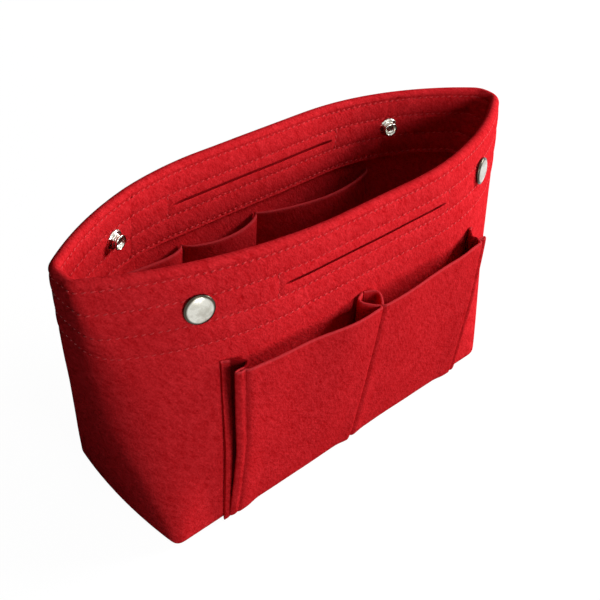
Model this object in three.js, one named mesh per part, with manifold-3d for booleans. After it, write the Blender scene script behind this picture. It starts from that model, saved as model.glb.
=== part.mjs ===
// A felt insert that organises a handbag: an open body with two bellows pockets on the front wall,
// three pockets inside the back wall, a cut slit in each wall and two press snaps across the mouth.
// Millimetres. The front wall faces -Y, the length runs along X and the base stands on Z = 0.
import * as THREE from "three";
import { mergeVertices } from "three/addons/utils/BufferGeometryUtils.js";
import Module from "manifold-3d";

// Body
const wallHeight = 160;
const baseLength = 243;
const baseWidth = 90;
const baseCornerInside = 4.2;
const foldInside = 1.5;
const topLength = 293;
const topWidth = 90;
const topStraight = 78;
const topEndInside = 5.5;
const wallFelt = 3;
const facingFelt = 2.2;
const facingDepth = 41;
const seamGap = 0.3;

// Slit pockets, placed from the top edge and from the middle of the wall
const slitLength = 115;
const slitHeight = 1.6;
const slitDrop = 23;
const slitShift = 3;

// Front pockets: places along the wall from its middle, heights from the top edge, and how far each
// upright edge stands off the wall at the mouth
const pocketFelt = 2.2;
const pocketDrop = 52;
const pocketFoot = 5.5;
const pocketSeat = 1;
const leftSeam = -91;
const middleSeam = -1.5;
const rightSeam = 89.5;
const leftFold = -86;
const middleFold = 0;
const rightFoldLow = 90;
const rightFoldHigh = 83;
const leftOpen = 9;
const middleOpen = 15.5;
const rightOpen = 12;
const faceBow = 1.5;
const loopBulge = 4.5;

// Inner pockets: seams along the back wall, seen from the front, and the bulge of each mouth
const innerFelt = 2.2;
const innerSeat = 0.5;
const innerDrop = 9;
const innerFoot = 10;
const innerSeams = [-90, -50, 2, 91];
const innerBulges = [8, 9.5, 11.5];
const innerNames = ["inner_pocket_small", "inner_pocket_middle", "inner_pocket_large"];

// Press snaps
const snapReach = 100;
const snapDrop = 21;
const snapMargin = 11;
const capDiameter = 15;
const capHeight = 2.4;
const capEdge = 0.7;
const postDiameter = 4;
const flangeDiameter = 11.5;
const flangeThickness = 0.9;
const studNeckDiameter = 6.6;
const studHeadDiameter = 8;
const studHeight = 4.6;
const studWall = 0.9;
const socketDiameter = 12.5;
const socketHeight = 3.4;
const socketClearance = 0.25;
const springWire = 0.6;
const springClearance = 0.25;

// Fineness of the facets
const frontSteps = 24;
const endSteps = 24;
const foldSteps = 3;
const wallLevels = 4;
const facingLevels = 2;
const pocketSteps = 10;
const pocketLevels = 6;
const leafSteps = 6;
const roundSteps = 16;

const layers = wallFelt + seamGap + facingFelt;
const foldRadius = foldInside + wallFelt;
const baseCorner = baseCornerInside + seamGap + foldRadius;
const topEnd = topEndInside + layers;
const facingFoot = wallHeight - facingDepth;
const pocketTop = wallHeight - pocketDrop;
const innerTop = facingFoot - innerDrop;
const panelReach = snapReach + snapMargin;

const felt = new THREE.Color(0xc41e24);
const nickel = new THREE.Color(0xc9c6bf);
const feltFinish = { color: felt, roughness: 0.95, metalness: 0 };
const nickelFinish = { color: nickel, roughness: 0.25, metalness: 1 };

const wasm = await Module();
wasm.setup();

const insert = new THREE.Group();
insert.name = "purse_organizer_insert";

function addMesh(parent, name, geometry, finish) {
  const mesh = new THREE.Mesh(geometry, new THREE.MeshStandardMaterial(finish));
  mesh.name = name;
  parent.add(mesh);
  return mesh;
}

function steps(from, to, count) {
  return Array.from({ length: count + 1 }, (_, i) => from + ((to - from) * i) / count);
}

// The long side of the top edge: its arc runs from the straight stretch into the round end with no kink
const topHalf = topWidth / 2;
const sideReach = topLength / 2 - topEnd - topStraight / 2;
const sideRadius = (sideReach ** 2 + topHalf ** 2 - topEnd ** 2) / (2 * (topHalf - topEnd));
const sideTurn = Math.atan2(sideReach, sideRadius - topHalf);

// Outline of the body at one height, from the middle of the front to the middle of the right end: a
// straight stretch, the long side's arc, the round corner and a straight stretch across the end. Each
// changes evenly from the base to the top edge, as in a sheet of felt that isn't stretched.
function section(z) {
  const lerp = (low, high) => low + ((high - low) * z) / wallHeight;
  const half = lerp(baseWidth, topWidth) / 2;
  const straight = lerp(baseLength / 2 - baseCorner, topStraight / 2);
  const longRadius = lerp(baseCorner, sideRadius);
  const cornerRadius = lerp(baseCorner, topEnd);
  const endHalf = lerp(baseWidth / 2 - baseCorner, 0);
  const sideEnd = sideTurn - Math.PI / 2;
  const bend = longRadius - cornerRadius;
  const cornerX = straight + bend * Math.cos(sideEnd);
  const cornerY = longRadius - half + bend * Math.sin(sideEnd);
  const path = new THREE.Path();
  path.moveTo(0, -half);
  path.lineTo(straight, -half);
  path.absarc(straight, longRadius - half, longRadius, -Math.PI / 2, sideEnd);
  path.absarc(cornerX, cornerY, cornerRadius, sideEnd, 0);
  path.lineTo(cornerX + cornerRadius, cornerY + endHalf);
  return path;
}

const sections = new Map();

function sectionAt(z) {
  if (!sections.has(z)) sections.set(z, section(z));
  return sections.get(z);
}

// A point of the body's wall. turn counts quarters of the way round: 0 is the middle of the front, 1 the
// middle of the right end, 2 the middle of the back. depth runs inwards from the outer face.
function wallPoint(turn, z, depth) {
  const around = turn > 2 ? turn - 4 : turn;
  const share = 1 - Math.abs(1 - Math.abs(around));
  const outline = sectionAt(z);
  const point = outline.getPoint(share);
  const tangent = outline.getTangent(share);
  const x = point.x - tangent.y * depth;
  const y = point.y + tangent.x * depth;
  const atBack = Math.abs(around) > 1;
  return new THREE.Vector3(around < 0 ? -x : x, atBack ? -y : y, z);
}

const baseGirth = sectionAt(0).getLength();

// A point of the round fold between wall and base: angle 0 lies flat, a right angle stands upright
function foldPoint(turn, angle, depth) {
  const radius = foldRadius - depth;
  const point = wallPoint(turn, foldRadius, foldRadius - radius * Math.sin(angle));
  point.z = foldRadius - radius * Math.cos(angle);
  return point;
}

// Turns for a place measured along the wall from its middle
const frontTurn = (along) => along / baseGirth;
const backTurn = (along) => 2 - along / baseGirth;

// A closed sheet over a grid. place(u, v, side) gives a corner of its outer face (side 0) or its inner
// face (side 1); u runs to the right, v up and side away from the viewer.
function sheet(us, vs, place) {
  const positions = [];
  const index = [];
  const wide = us.length;
  const tall = vs.length;
  for (const side of [0, 1]) {
    for (const v of vs) {
      for (const u of us) positions.push(...place(u, v, side).toArray());
    }
  }
  const at = (i, j, side) => (side * tall + j) * wide + i;
  const quad = (a, b, c, d) => index.push(a, b, c, a, c, d);
  for (let j = 0; j < tall - 1; j++) {
    for (let i = 0; i < wide - 1; i++) {
      quad(at(i, j, 0), at(i + 1, j, 0), at(i + 1, j + 1, 0), at(i, j + 1, 0));
      quad(at(i, j, 1), at(i, j + 1, 1), at(i + 1, j + 1, 1), at(i + 1, j, 1));
    }
  }
  for (let i = 0; i < wide - 1; i++) {
    quad(at(i, 0, 1), at(i + 1, 0, 1), at(i + 1, 0, 0), at(i, 0, 0));
    quad(at(i, tall - 1, 0), at(i + 1, tall - 1, 0), at(i + 1, tall - 1, 1), at(i, tall - 1, 1));
  }
  for (let j = 0; j < tall - 1; j++) {
    quad(at(0, j, 0), at(0, j + 1, 0), at(0, j + 1, 1), at(0, j, 1));
    quad(at(wide - 1, j, 0), at(wide - 1, j, 1), at(wide - 1, j + 1, 1), at(wide - 1, j + 1, 0));
  }
  const geometry = new THREE.BufferGeometry();
  geometry.setAttribute("position", new THREE.Float32BufferAttribute(positions, 3));
  geometry.setIndex(index);
  return geometry;
}

function toSolid(geometry) {
  const bare = geometry.clone();
  bare.deleteAttribute("normal");
  bare.deleteAttribute("uv");
  const merged = mergeVertices(bare);
  const vertProperties = merged.attributes.position.array;
  const triVerts = new Uint32Array(merged.index.array);
  return new wasm.Manifold(new wasm.Mesh({ numProp: 3, vertProperties, triVerts }));
}

function cut(geometry, tools) {
  const left = tools.reduce((solid, tool) => solid.subtract(toSolid(tool)), toSolid(geometry));
  const mesh = left.getMesh();
  const result = new THREE.BufferGeometry();
  result.setAttribute("position", new THREE.Float32BufferAttribute(mesh.vertProperties, 3));
  result.setIndex(new THREE.BufferAttribute(mesh.triVerts, 1));
  return result;
}

// The seat of one snap: a group on the wall's outer face whose +Z points straight out of the felt
function snapSeat(turn) {
  const height = wallHeight - snapDrop;
  const probe = 1;
  const probeTurn = frontTurn(probe);
  const along = wallPoint(turn + probeTurn, height, 0).sub(wallPoint(turn - probeTurn, height, 0));
  const up = wallPoint(turn, height + probe, 0).sub(wallPoint(turn, height - probe, 0));
  const seat = new THREE.Group();
  seat.position.copy(wallPoint(turn, height, 0));
  seat.quaternion.setFromUnitVectors(new THREE.Vector3(0, 0, 1), along.cross(up).normalize());
  seat.updateMatrix();
  return seat;
}

const seats = {
  front: { left: snapSeat(frontTurn(-snapReach)), right: snapSeat(frontTurn(snapReach)) },
  back: { left: snapSeat(backTurn(-snapReach)), right: snapSeat(backTurn(snapReach)) },
};

// The hole that a snap's post goes through
function postHole(seat) {
  const radius = postDiameter / 2 + seamGap;
  const throughBoth = 4 * layers;
  const hole = new THREE.CylinderGeometry(radius, radius, throughBoth, roundSteps);
  hole.rotateX(Math.PI / 2);
  return hole.applyMatrix4(seat.matrix);
}

// The slit's cut, as a thin slot through one layer; side is -1 for the front wall and 1 for the back
function slitCut(side) {
  const slot = new THREE.BoxGeometry(slitLength, baseWidth / 2, slitHeight);
  return slot.translate(slitShift, (side * baseWidth) / 2, wallHeight - slitDrop);
}

// Levels up the wall, shared by the facing so that the two layers keep one gap
const upperLevels = steps(facingFoot, wallHeight, facingLevels).map((z) => ({ z }));
const lowerLevels = steps(foldRadius, facingFoot, wallLevels).map((z) => ({ z }));
const foldLevels = steps(0, Math.PI / 2, foldSteps).map((angle) => ({ angle }));
const panelLevels = [...foldLevels.slice(0, -1), ...lowerLevels.slice(0, -1), ...upperLevels];

function panelPlace(turn, level, side) {
  const depth = side * wallFelt;
  return level.z === undefined ? foldPoint(turn, level.angle, depth) : wallPoint(turn, level.z, depth);
}

function facingPlace(turn, level, side) {
  return wallPoint(turn, level.z, wallFelt + seamGap + side * facingFelt);
}

const panelTurn = frontTurn(panelReach);
const endTurn = frontTurn(panelReach + seamGap);
const frontTurns = steps(-panelTurn, panelTurn, frontSteps);
const backTurns = steps(2 - panelTurn, 2 + panelTurn, frontSteps);
const rightTurns = steps(endTurn, 2 - endTurn, endSteps);
const leftTurns = steps(endTurn - 2, -endTurn, endSteps);

function addBody() {
  const outline = [];
  for (const turn of steps(-2, 2, 4 * frontSteps).slice(1)) {
    const point = wallPoint(turn, foldRadius, foldRadius + seamGap);
    outline.push(new THREE.Vector2(point.x, point.y));
  }
  const basePanel = new THREE.ExtrudeGeometry(new THREE.Shape(outline), {
    depth: wallFelt,
    bevelEnabled: false,
  });
  const frontHoles = [postHole(seats.front.left), postHole(seats.front.right)];
  const backHoles = [postHole(seats.back.left), postHole(seats.back.right)];
  const front = sheet(frontTurns, panelLevels, panelPlace);
  const back = sheet(backTurns, panelLevels, panelPlace);
  const frontBand = sheet(frontTurns, upperLevels, facingPlace);
  const backBand = sheet(backTurns, upperLevels, facingPlace);
  addMesh(insert, "base_panel", basePanel, feltFinish);
  addMesh(insert, "front_panel", cut(front, [...frontHoles, slitCut(-1)]), feltFinish);
  addMesh(insert, "back_panel", cut(back, backHoles), feltFinish);
  addMesh(insert, "left_end_panel", sheet(leftTurns, panelLevels, panelPlace), feltFinish);
  addMesh(insert, "right_end_panel", sheet(rightTurns, panelLevels, panelPlace), feltFinish);
  addMesh(insert, "front_facing", cut(frontBand, frontHoles), feltFinish);
  addMesh(insert, "back_facing", cut(backBand, [...backHoles, slitCut(1)]), feltFinish);
  addMesh(insert, "left_end_facing", sheet(leftTurns, upperLevels, facingPlace), feltFinish);
  addMesh(insert, "right_end_facing", sheet(rightTurns, upperLevels, facingPlace), feltFinish);
}

// How far a front pocket's inner face stands off the wall, at share v of the pocket's height
function standOff(open, v) {
  const fullness = 0.8;
  return seamGap + pocketSeat + open * v ** fullness;
}

const pocketHeightAt = (v) => pocketFoot + (pocketTop - pocketFoot) * v;
const pocketVs = steps(0, 1, pocketLevels);

// One pocket face between two upright folds, whose places may lean with height
function pocketFace(foldFrom, foldTo, openFrom, openTo) {
  const place = (u, v, side) => {
    const along = THREE.MathUtils.lerp(foldFrom(v), foldTo(v), u);
    const open = THREE.MathUtils.lerp(openFrom, openTo, u) + faceBow * Math.sin(Math.PI * u);
    const off = standOff(open, v) + (1 - side) * pocketFelt;
    return wallPoint(frontTurn(along), pocketHeightAt(v), -off);
  };
  return sheet(steps(0, 1, pocketSteps), pocketVs, place);
}

// One gusset leaf from its seam on the wall to the back of a face. edge(u, v) is the place along the wall
// of the leaf's left side.
function gussetLeaf(open, edge) {
  const place = (u, v, side) => {
    const off = THREE.MathUtils.lerp(seamGap, standOff(open, v) - seamGap, u);
    const along = edge(u, v) + side * pocketFelt;
    return wallPoint(frontTurn(along), pocketHeightAt(v), -off);
  };
  return sheet(steps(0, 1, leafSteps), pocketVs, place);
}

function addFrontPockets() {
  const lerp = THREE.MathUtils.lerp;
  const half = seamGap / 2;
  const rightFold = (v) => lerp(rightFoldLow, rightFoldHigh, v);
  const loop = (u, v) => loopBulge * v * Math.sin(Math.PI * u);
  const leftFace = pocketFace(() => leftFold, () => middleFold - half, leftOpen, middleOpen);
  const rightFace = pocketFace(() => middleFold + half, rightFold, middleOpen, rightOpen);
  const outerLeft = gussetLeaf(leftOpen, (u) => lerp(leftSeam, leftFold, u));
  const outerRight = gussetLeaf(rightOpen, (u, v) => lerp(rightSeam, rightFold(v), u) - pocketFelt);
  const loopLeft = gussetLeaf(
    middleOpen,
    (u, v) => lerp(middleSeam, middleFold, u) - half - pocketFelt - loop(u, v),
  );
  const loopRight = gussetLeaf(
    middleOpen,
    (u, v) => lerp(middleSeam, middleFold, u) + half + loop(u, v),
  );
  addMesh(insert, "left_pocket_face", leftFace, feltFinish);
  addMesh(insert, "right_pocket_face", rightFace, feltFinish);
  addMesh(insert, "left_outer_gusset", outerLeft, feltFinish);
  addMesh(insert, "left_middle_gusset", loopLeft, feltFinish);
  addMesh(insert, "right_middle_gusset", loopRight, feltFinish);
  addMesh(insert, "right_outer_gusset", outerRight, feltFinish);
}

// The inner pockets: each lies on the wall at its two seams and bulges most towards its right end
function addInnerPockets() {
  const skew = 1.6;
  const zs = steps(innerFoot, innerTop, pocketLevels);
  innerNames.forEach((name, i) => {
    const leftEnd = innerSeams[i] + seamGap / 2;
    const rightEnd = innerSeams[i + 1] - seamGap / 2;
    const place = (u, z, side) => {
      const along = THREE.MathUtils.lerp(rightEnd, leftEnd, u);
      const rise = Math.sin(((z - innerFoot) / (innerTop - innerFoot)) * (Math.PI / 2));
      const bulge = innerBulges[i] * rise * Math.sin(Math.PI * (1 - u) ** skew);
      return wallPoint(backTurn(along), z, wallFelt + innerSeat + bulge + side * innerFelt);
    };
    addMesh(insert, name, sheet(steps(0, 1, pocketSteps), zs, place), feltFinish);
  });
}

// A piece turned about the snap's axis: profile points are a radius and a height along the seat's +Z
function turned(profile) {
  const points = profile.map(([radius, height]) => new THREE.Vector2(radius, height));
  const geometry = new THREE.LatheGeometry(points, roundSteps);
  return geometry.rotateX(Math.PI / 2);
}

const innerFace = -layers - seamGap;
const postEnd = innerFace - flangeThickness;

// The domed cap with its post, which goes through wall and facing into the piece on the inside
function snapCap() {
  const post = postDiameter / 2;
  const rim = capDiameter / 2;
  const domeSteps = 4;
  const dome = steps(0, Math.PI / 2, domeSteps).map((angle) => [
    rim * Math.cos(angle),
    seamGap + capEdge + (capHeight - capEdge) * Math.sin(angle),
  ]);
  dome[domeSteps][0] = 0;
  return turned([[0, postEnd], [post, postEnd], [post, seamGap], [rim - capEdge, seamGap], ...dome]);
}

// The male stud: a flange on the felt and a hollow ring that stands out of it
function snapStud() {
  const bore = postDiameter / 2 + seamGap;
  const flange = flangeDiameter / 2;
  const neck = studNeckDiameter / 2;
  const head = studHeadDiameter / 2;
  const foot = innerFace - flangeThickness;
  const tip = innerFace - studHeight;
  const swell = (foot + tip) / 2;
  return turned([
    [bore, tip + studWall],
    [head - studWall, tip],
    [head, tip + studWall],
    [head, swell],
    [neck, swell + studWall],
    [neck, foot],
    [flange, foot],
    [flange, innerFace],
    [bore, innerFace],
    [bore, tip + studWall],
  ]);
}

const socketBore = studHeadDiameter / 2 + socketClearance;
const grooveHalf = springWire / 2 + springClearance;
const grooveLevel = innerFace - (flangeThickness + socketHeight) / 2;
const springRadius = socketBore + springWire / 2 - socketClearance / 2;

// The female socket: a cup on the felt whose bore takes the stud, with a groove for the ring spring
function snapSocket() {
  const bore = postDiameter / 2 + seamGap;
  const rim = socketDiameter / 2;
  const groove = springRadius + grooveHalf;
  const floor = innerFace - flangeThickness;
  const mouth = innerFace - socketHeight;
  return turned([
    [bore, floor],
    [socketBore, floor],
    [socketBore, grooveLevel + grooveHalf],
    [groove, grooveLevel + grooveHalf],
    [groove, grooveLevel - grooveHalf],
    [socketBore, grooveLevel - grooveHalf],
    [socketBore, mouth],
    [rim, mouth],
    [rim, innerFace],
    [bore, innerFace],
    [bore, floor],
  ]);
}

function snapSpring() {
  const wireSides = 8;
  const ring = steps(0, 2 * Math.PI, wireSides).map((angle) => [
    springRadius + (springWire / 2) * Math.cos(angle),
    grooveLevel + (springWire / 2) * Math.sin(angle),
  ]);
  ring[wireSides] = ring[0];
  return turned(ring);
}

function addSnaps() {
  for (const hand of ["left", "right"]) {
    const front = seats.front[hand];
    const back = seats.back[hand];
    addMesh(front, `${hand}_snap_front_cap`, snapCap(), nickelFinish);
    addMesh(front, `${hand}_snap_socket`, snapSocket(), nickelFinish);
    addMesh(front, `${hand}_snap_ring_spring`, snapSpring(), nickelFinish);
    addMesh(back, `${hand}_snap_back_cap`, snapCap(), nickelFinish);
    addMesh(back, `${hand}_snap_stud`, snapStud(), nickelFinish);
    insert.add(front, back);
  }
}

addBody();
addFrontPockets();
addInnerPockets();
addSnaps();

export default insert;
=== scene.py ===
"""Dresses a felt handbag insert: hemmed walls, bellows pockets, inner pockets, stitching and press snaps.

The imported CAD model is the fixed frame. Everything is in metres: X runs along the length, the front wall
with the bellows pockets faces -Y, and the base stands on Z = 0.
"""

import math
from collections import namedtuple

import bmesh
import bpy
from bpy.props import FloatProperty, FloatVectorProperty, IntProperty, PointerProperty
from mathutils import Matrix, Vector, noise


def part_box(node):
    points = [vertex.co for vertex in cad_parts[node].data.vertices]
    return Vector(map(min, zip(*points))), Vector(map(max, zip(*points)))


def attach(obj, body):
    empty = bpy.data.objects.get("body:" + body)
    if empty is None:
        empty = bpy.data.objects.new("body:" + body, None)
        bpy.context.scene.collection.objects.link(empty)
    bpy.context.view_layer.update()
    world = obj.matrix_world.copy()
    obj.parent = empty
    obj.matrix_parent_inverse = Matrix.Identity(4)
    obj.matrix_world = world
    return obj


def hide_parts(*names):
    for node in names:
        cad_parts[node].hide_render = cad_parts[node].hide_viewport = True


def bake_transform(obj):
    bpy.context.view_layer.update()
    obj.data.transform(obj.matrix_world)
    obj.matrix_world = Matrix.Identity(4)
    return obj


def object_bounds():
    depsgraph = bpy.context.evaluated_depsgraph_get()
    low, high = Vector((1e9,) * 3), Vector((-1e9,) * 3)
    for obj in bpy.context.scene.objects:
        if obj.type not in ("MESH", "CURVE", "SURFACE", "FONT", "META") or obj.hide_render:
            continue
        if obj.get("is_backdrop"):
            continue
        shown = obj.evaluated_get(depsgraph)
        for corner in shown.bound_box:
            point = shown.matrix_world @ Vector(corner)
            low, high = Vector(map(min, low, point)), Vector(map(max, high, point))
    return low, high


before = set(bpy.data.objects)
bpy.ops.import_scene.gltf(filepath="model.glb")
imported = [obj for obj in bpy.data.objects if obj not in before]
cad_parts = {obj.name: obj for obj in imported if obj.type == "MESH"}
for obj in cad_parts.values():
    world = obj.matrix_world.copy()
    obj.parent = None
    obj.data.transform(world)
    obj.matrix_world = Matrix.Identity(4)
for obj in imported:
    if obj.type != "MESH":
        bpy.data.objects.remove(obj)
CAD_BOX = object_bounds()

bl_info = {
    "name": "Purse Organizer Insert",
    "version": (1, 0, 0),
    "blender": (4, 5, 0),
    "location": "3D View > Sidebar > Insert",
    "description": "Models the felt, stitching, pockets and snaps of a handbag insert on its CAD frame",
    "category": "Add Mesh",
}

# Heights and lengths that the frame gives
WALL_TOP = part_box("front_panel")[1].z
FACING_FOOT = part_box("front_facing")[0].z
BODY_LENGTH = 2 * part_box("right_end_panel")[1].x
BODY_WIDTH = 2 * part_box("back_panel")[1].y
POCKET_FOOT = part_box("left_pocket_face")[0].z
POCKET_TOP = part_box("left_pocket_face")[1].z
INNER_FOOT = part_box("inner_pocket_large")[0].z
INNER_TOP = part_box("inner_pocket_large")[1].z

# Vertices nearer to each other than this are merged
WELD = 1e-6

# Shares of the height over which the rounding of the ends grows from the base and fades below the top edge
ROUND_GROWS = 0.55
ROUND_FADES = 0.35

# Places along the back wall of the upright seams between the facing's strips
FACING_SEAMS = (-0.0847, 0.0970, 0.1019)

# Half the width of the groove that a row of stitches pulls into the felt, and how deep in it a stitch lies
GROOVE_HALF = 0.0009
SEWN_DEPTH = 0.7

# How far from its end a slit is fully open, and how far its lower lip's sinking reaches
SLIT_TAPER = 0.006
LIP_REACH = 0.005

# How much of the hollow colour, a painted shade, darkens a slit and the leaf behind a pocket's pinched fold
PAINTED_SLIT_SHADE = 0.75
PAINTED_FOLD_SHADE = 1.0

# How far a front pocket and an inner pocket stand off the wall where they are sewn to it
POCKET_GAP = 0.0003
INNER_GAP = 0.0004

# Heights of a snap's underside, which is pressed into the felt, and of the floor in a socket's bore
PRESSED = -0.0002
SOCKET_FLOOR = 0.0009

# The faces of a felt section: towards the outside, towards the inside, and the edges between
OUTER = 1
INNER = -1
EDGE = 0

# One line along a felt piece: its height, its depth inwards, the face it is on, and 1 where the felt's cut
# edge shows. On the base and the pockets the depth is a share, and on the front pockets the height is too
Station = namedtuple("Station", "z depth face cut", defaults=(0,))


def length(label, words, default):
    """A length property in metres."""
    return FloatProperty(name=label, description=words, default=default, unit="LENGTH", precision=5)


def lengths(label, words, default):
    """A property of several lengths in metres."""
    return FloatVectorProperty(
        name=label, description=words, default=default, size=len(default), unit="LENGTH", precision=5)


def angle(label, words, default):
    """An angle property in radians."""
    return FloatProperty(name=label, description=words, default=default, subtype="ANGLE")


def colour(label, words, default):
    """A linear colour property."""
    return FloatVectorProperty(
        name=label, description=words, default=default, subtype="COLOR", min=0, max=1)


def ratio(label, words, default):
    """A plain number property."""
    return FloatProperty(name=label, description=words, default=default)


class BodySettings(bpy.types.PropertyGroup):
    """Sizes of the body's walls, hem and base"""

    height: length("Height", "Height of the walls", WALL_TOP)
    base_length: length("Base Length", "Length of the body at the base", 0.2456)
    top_length: length("Top Length", "Length of the body at the top edge", BODY_LENGTH)
    width: length("Width", "Width of the body", BODY_WIDTH)
    swell: length("Swell", "How far each wall swells out at the top edge", 0.0009)
    base_corner: length("Base Corner", "Radius of the corners at the base", 0.0045)
    left_straight: length("Left Straight", "Front edge's straight stretch left of the middle", 0.0167)
    left_radius: length("Left Radius", "Radius of the front's top edge on the left", 0.260)
    left_corner: length("Left Corner", "Radius of the front left corner at the top edge", 0.006)
    left_flare: ratio("Left Flare", "How late on the way up the front begins to curve on the left", 1.45)
    left_round: ratio("Left Round", "Share of the left end that its corner takes half way up", 0.8)
    right_straight: length("Right Straight", "Front edge's straight stretch right of the middle", 0.029)
    right_radius: length("Right Radius", "Radius of the front's top edge on the right", 0.200)
    right_corner: length("Right Corner", "Radius of the front right corner at the top edge", 0.011)
    right_round: ratio("Right Round", "Share of the right end that its corner takes half way up", 0.22)
    back_straight: length("Back Straight", "Half of the straight stretch of the back's top edge", 0.035)
    back_radius: length("Back Radius", "Radius of the back's top edge beside it", 0.174)
    back_corner: length("Back Corner", "Radius of the back corners at the top edge", 0.011)
    back_round: ratio("Back Round", "Share of each end that its back corner takes half way up", 0.12)
    end_bow: angle("End Bow", "Turn of each half end at the base", 0.15)
    felt: length("Felt", "Thickness of the wall felt", 0.003)
    layers: length("Hem", "Thickness of wall and facing together", 0.0055)
    facing_foot: length("Facing Foot", "Height of the facing's cut edge", FACING_FOOT - 0.0026)
    fold: length("Fold", "Outer radius of the fold between wall and base", 0.0045)
    ripple: length("Ripple", "How far the felt waves in and out", 0.00035)


class StitchSettings(bpy.types.PropertyGroup):
    """Sizes of the hem's stitching"""

    rows: lengths("Rows", "Drop of each row from the top edge", (0.0047, 0.0160, 0.0292, 0.0412))
    pitch: length("Pitch", "Distance from stitch to stitch", 0.0037)
    thread: length("Thread", "Diameter of the thread", 0.00080)
    stitch: length("Stitch", "Length of one stitch that shows", 0.0024)
    groove: length("Groove", "How far a row pulls the felt in", 0.00055)
    puff: length("Puff", "How far the felt swells between two rows", 0.00025)


class SlitSettings(bpy.types.PropertyGroup):
    """Sizes of the slit in each wall"""

    span: length("Span", "Length of the cut", 0.1136)
    drop: length("Drop", "Drop of the cut from the top edge", 0.0225)
    shift: length("Shift", "How far the cut lies right of the wall's middle", 0.0018)
    gape: length("Gape", "Height of the open cut", 0.0009)
    depth: length("Depth", "How deep the cut shows", 0.0030)
    fall: length("Fall", "How far the cut's floor falls behind the lower lip", 0.0036)
    lip: length("Lip", "How far the lower lip sinks in", 0.0005)
    box_margin: length("Box Margin", "From the cut's end to the upright stitches of its box", 0.0032)


class PocketSettings(bpy.types.PropertyGroup):
    """Sizes of the two bellows pockets"""

    felt: length("Felt", "Thickness of the pocket felt", 0.0018)
    top: length("Top", "Height of the mouths", POCKET_TOP)
    foot: length("Foot", "Height of the lower corners", POCKET_FOOT - 0.0009)
    seam_left: length("Left Seam", "From the wall's middle to the left pocket's outer seam", 0.0882)
    seam_right: length("Right Seam", "From the wall's middle to the right pocket's outer seam", 0.0890)
    fold_left: length("Left Fold", "From the wall's middle to the left pocket's pinched fold", 0.0827)
    fold_right: length("Right Fold", "From mid-wall to the right pocket's pinched fold, at its mouth", 0.0822)
    fold_right_foot: length("Right Fold Foot", "From mid-wall to the right fold at its foot", 0.0876)
    middle: length("Middle Seam", "Place of the loop's seam on the wall", -0.0010)
    star: length("Star", "Place of the point where the two faces meet at their mouths", -0.0013)
    open_left: length("Left Opening", "How far the left fold stands off the wall", 0.0091)
    open_middle: length("Middle Opening", "How far the middle seam stands off the wall", 0.0133)
    open_right: length("Right Opening", "How far the right fold stands off the wall", 0.0098)
    sag: length("Sag", "How far a face sags in by its outer fold and swells out by the middle", 0.0013)
    lift: length("Lift", "How far a face's lower edge rises between its corners", 0.0004)
    loop: length("Loop", "How far each leaf of the middle loop bulges", 0.0053)
    tab: length("Tab", "Width of the pinched tab along an outer fold", 0.0048)
    flange: length("Flange", "Width of the flange that is sewn to the wall", 0.0022)


class InnerSettings(bpy.types.PropertyGroup):
    """Sizes of the three inner pockets, from left to right"""

    felt: length("Felt", "Thickness of the inner pockets' felt", 0.0021)
    top: length("Top", "Height of the mouths", INNER_TOP)
    foot: length("Foot", "Height of the lower edges", INNER_FOOT)
    seams: lengths(
        "Seams", "Places of the upright seams along the back wall", (-0.0892, -0.0490, 0.0026, 0.0902))
    bulges: lengths("Bulges", "How far each mouth stands off the wall", (0.0050, 0.0093, 0.0120))
    leans: FloatVectorProperty(
        name="Leans", description="How far each mouth's widest place lies to the right", size=3,
        default=(1.6, 1.0, 1.25))


class SnapSettings(bpy.types.PropertyGroup):
    """Sizes of the press snaps"""

    reach: length("Reach", "From the wall's middle to each snap", 0.0989)
    drop: length("Drop", "Drop of the snaps from the top edge", 0.021)
    cap: length("Cap", "Diameter of the domed caps", 0.015)
    cap_height: length("Cap Height", "Height of the domed caps", 0.0030)
    flange: length("Flange", "Diameter of the stud's flange", 0.0115)
    stud: length("Stud", "Diameter of the stud's head", 0.0083)
    stud_height: length("Stud Height", "How far the stud stands out", 0.0046)
    socket: length("Socket", "Diameter of the socket", 0.0125)
    socket_height: length("Socket Height", "How far the socket stands out", 0.0034)
    wire: length("Spring Wire", "Diameter of the ring spring's wire", 0.0006)
    scallops: IntProperty(name="Scallops", description="Scallops round the stud's flange", default=16)


class FinishSettings(bpy.types.PropertyGroup):
    """Colours of the felt, the thread and the metal, with the shade painted in slits, in folds and on the
    snaps' rims
    """

    felt_dark: colour("Dark Fibre", "Colour of the wall felt's deep fibres", (0.46, 0.005, 0.008))
    felt_light: colour("Light Fibre", "Colour of the wall felt's surface fibres", (0.82, 0.032, 0.041))
    pocket_dark: colour("Dark Pocket Fibre", "Colour of the pockets' deep fibres", (0.40, 0.005, 0.007))
    pocket_light: colour("Light Pocket Fibre", "Colour of the pockets' surface fibres", (0.72, 0.026, 0.034))
    felt_cut: colour("Cut Edge", "Colour of the felt's cut edges", (0.52, 0.038, 0.046))
    # Painted shade: the hollow colour darkens the slits' floors and the leaves tucked behind the pinched
    # folds
    hollow: colour("Hollow", "Colour deep in the slits and folds", (0.20, 0.004, 0.006))
    thread: colour("Thread", "Colour of the thread", (0.90, 0.085, 0.095))
    nickel: colour("Nickel", "Colour of the snaps", (0.70, 0.69, 0.62))
    tarnish: colour("Tarnish", "Colour of the snaps' duller spots", (0.42, 0.40, 0.34))
    # Painted shade and reflection: the rim colour darkens the caps' steep rims
    rim: colour("Rim", "Colour of the caps' darkened rims", (0.07, 0.06, 0.045))


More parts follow.
